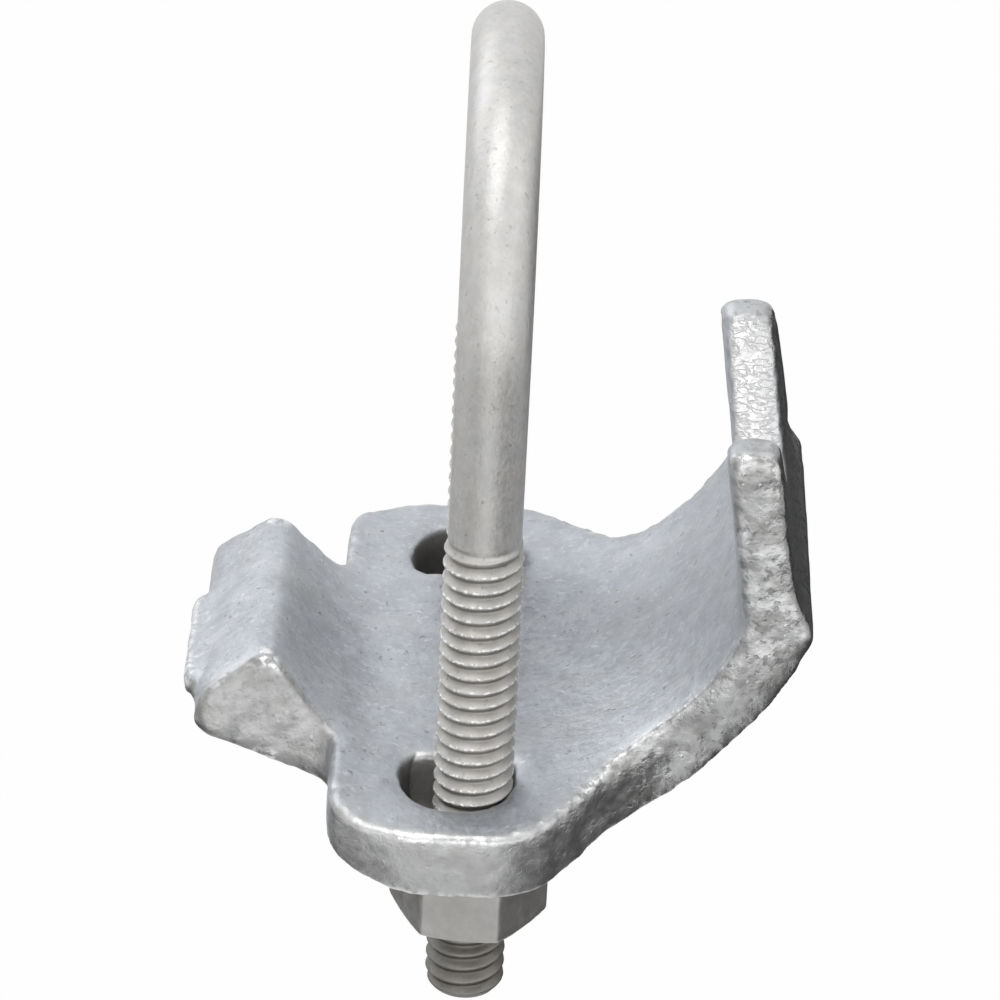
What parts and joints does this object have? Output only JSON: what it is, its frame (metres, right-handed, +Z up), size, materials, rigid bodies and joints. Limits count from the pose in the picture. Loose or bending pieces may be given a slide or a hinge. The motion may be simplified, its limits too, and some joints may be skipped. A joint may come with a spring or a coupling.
{
  "type": "right angle conduit support",
  "caption": "Cast saddle clamp with a ridged jaw and a notched fork, and a U-bolt with hexagon nuts, that holds a conduit at right angles to a beam flange.",
  "frame": {"origin": "on the axis of the conduit that the notch seats, in the plane of the U-bolt's legs", "axes": "+X along the conduit from the jaw towards the fork, +Z up from the plate towards the crown of the U-bolt"},
  "size_m": [0.0487, 0.0512, 0.0749],
  "materials": {
    "casting": "hot-dip galvanised, matt and slightly lumpy",
    "bolt": "galvanised, satin",
    "nut": "galvanised, satin"
  },
  "bodies": {
    "saddle": {"saddle_casting": "casting"},
    "u_bolt": {"u_bolt": "bolt"},
    "nut_front": {"nut_front": "nut"},
    "nut_back": {"nut_back": "nut"}
  },
  "joints": [
    {"name": "u_bolt_slide", "type": "slide", "parent": "saddle", "child": "u_bolt", "axis": [0, 0, -1], "range_m": [-0.0065, 0.027]},
    {"name": "nut_front_turn", "type": "hinge", "parent": "saddle", "child": "nut_front", "pos_m": [0, -0.01745, -0.04496], "axis": [0, 0, 1], "range_deg": [-1850, 7660]},
    {"name": "nut_back_turn", "type": "hinge", "parent": "saddle", "child": "nut_back", "pos_m": [0, 0.01745, -0.04496], "axis": [0, 0, 1], "range_deg": [-1850, 7660]}
  ],
  "couplings": [
    {"joint": "nut_front_turn", "follows": "u_bolt_slide", "rad_per_m": 4947.4},
    {"joint": "nut_back_turn", "follows": "u_bolt_slide", "rad_per_m": 4947.4}
  ]
}
